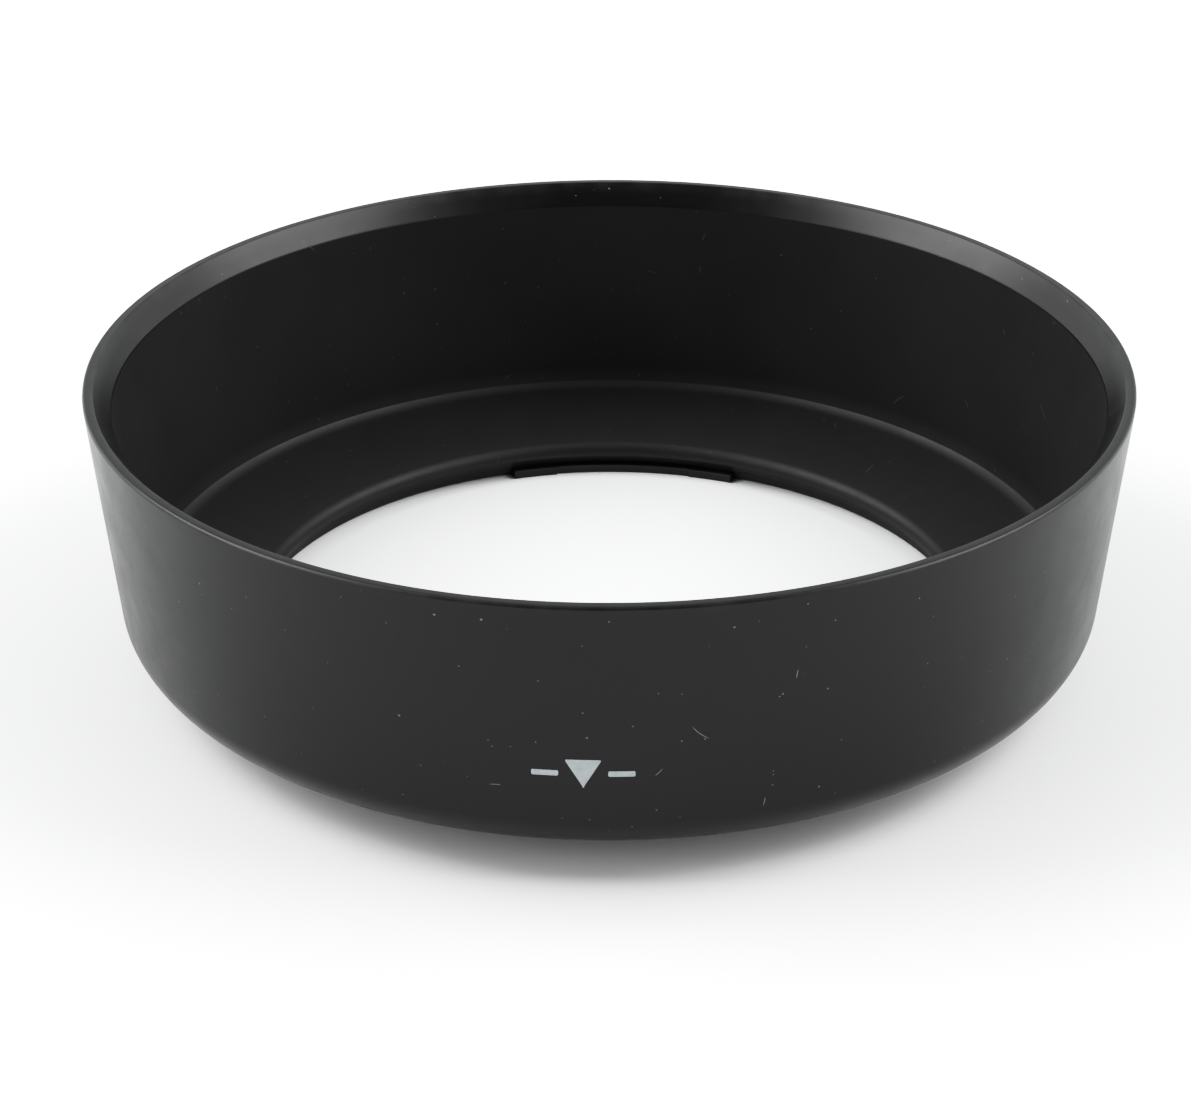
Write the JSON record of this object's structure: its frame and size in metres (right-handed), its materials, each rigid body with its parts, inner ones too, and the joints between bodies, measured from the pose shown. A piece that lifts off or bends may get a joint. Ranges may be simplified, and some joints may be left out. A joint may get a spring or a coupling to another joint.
{
  "type": "lens hood",
  "caption": "Flared round lens hood: thin-walled shell with a chamfered front rim and funnel floor, on a bayonet ring whose inward lugs and slots lock onto a lens barrel.",
  "frame": {"origin": "on the optical axis, at the plane of the bayonet ring's rear face, which the hood stands on", "axes": "+Z along the optical axis from the bayonet ring to the front rim; the printed index mark is on -Y and one bayonet lug is centred on +Y"},
  "size_m": [0.1079, 0.108, 0.031],
  "materials": {
    "shell_plastic": "satin black, finely textured moulding",
    "ring_plastic": "satin black moulding",
    "mark_ink": "pale grey printed ink"
  },
  "bodies": {
    "root": {"hood_shell": "shell_plastic", "bayonet_ring": "ring_plastic", "index_mark": "mark_ink"}
  },
  "joints": []
}
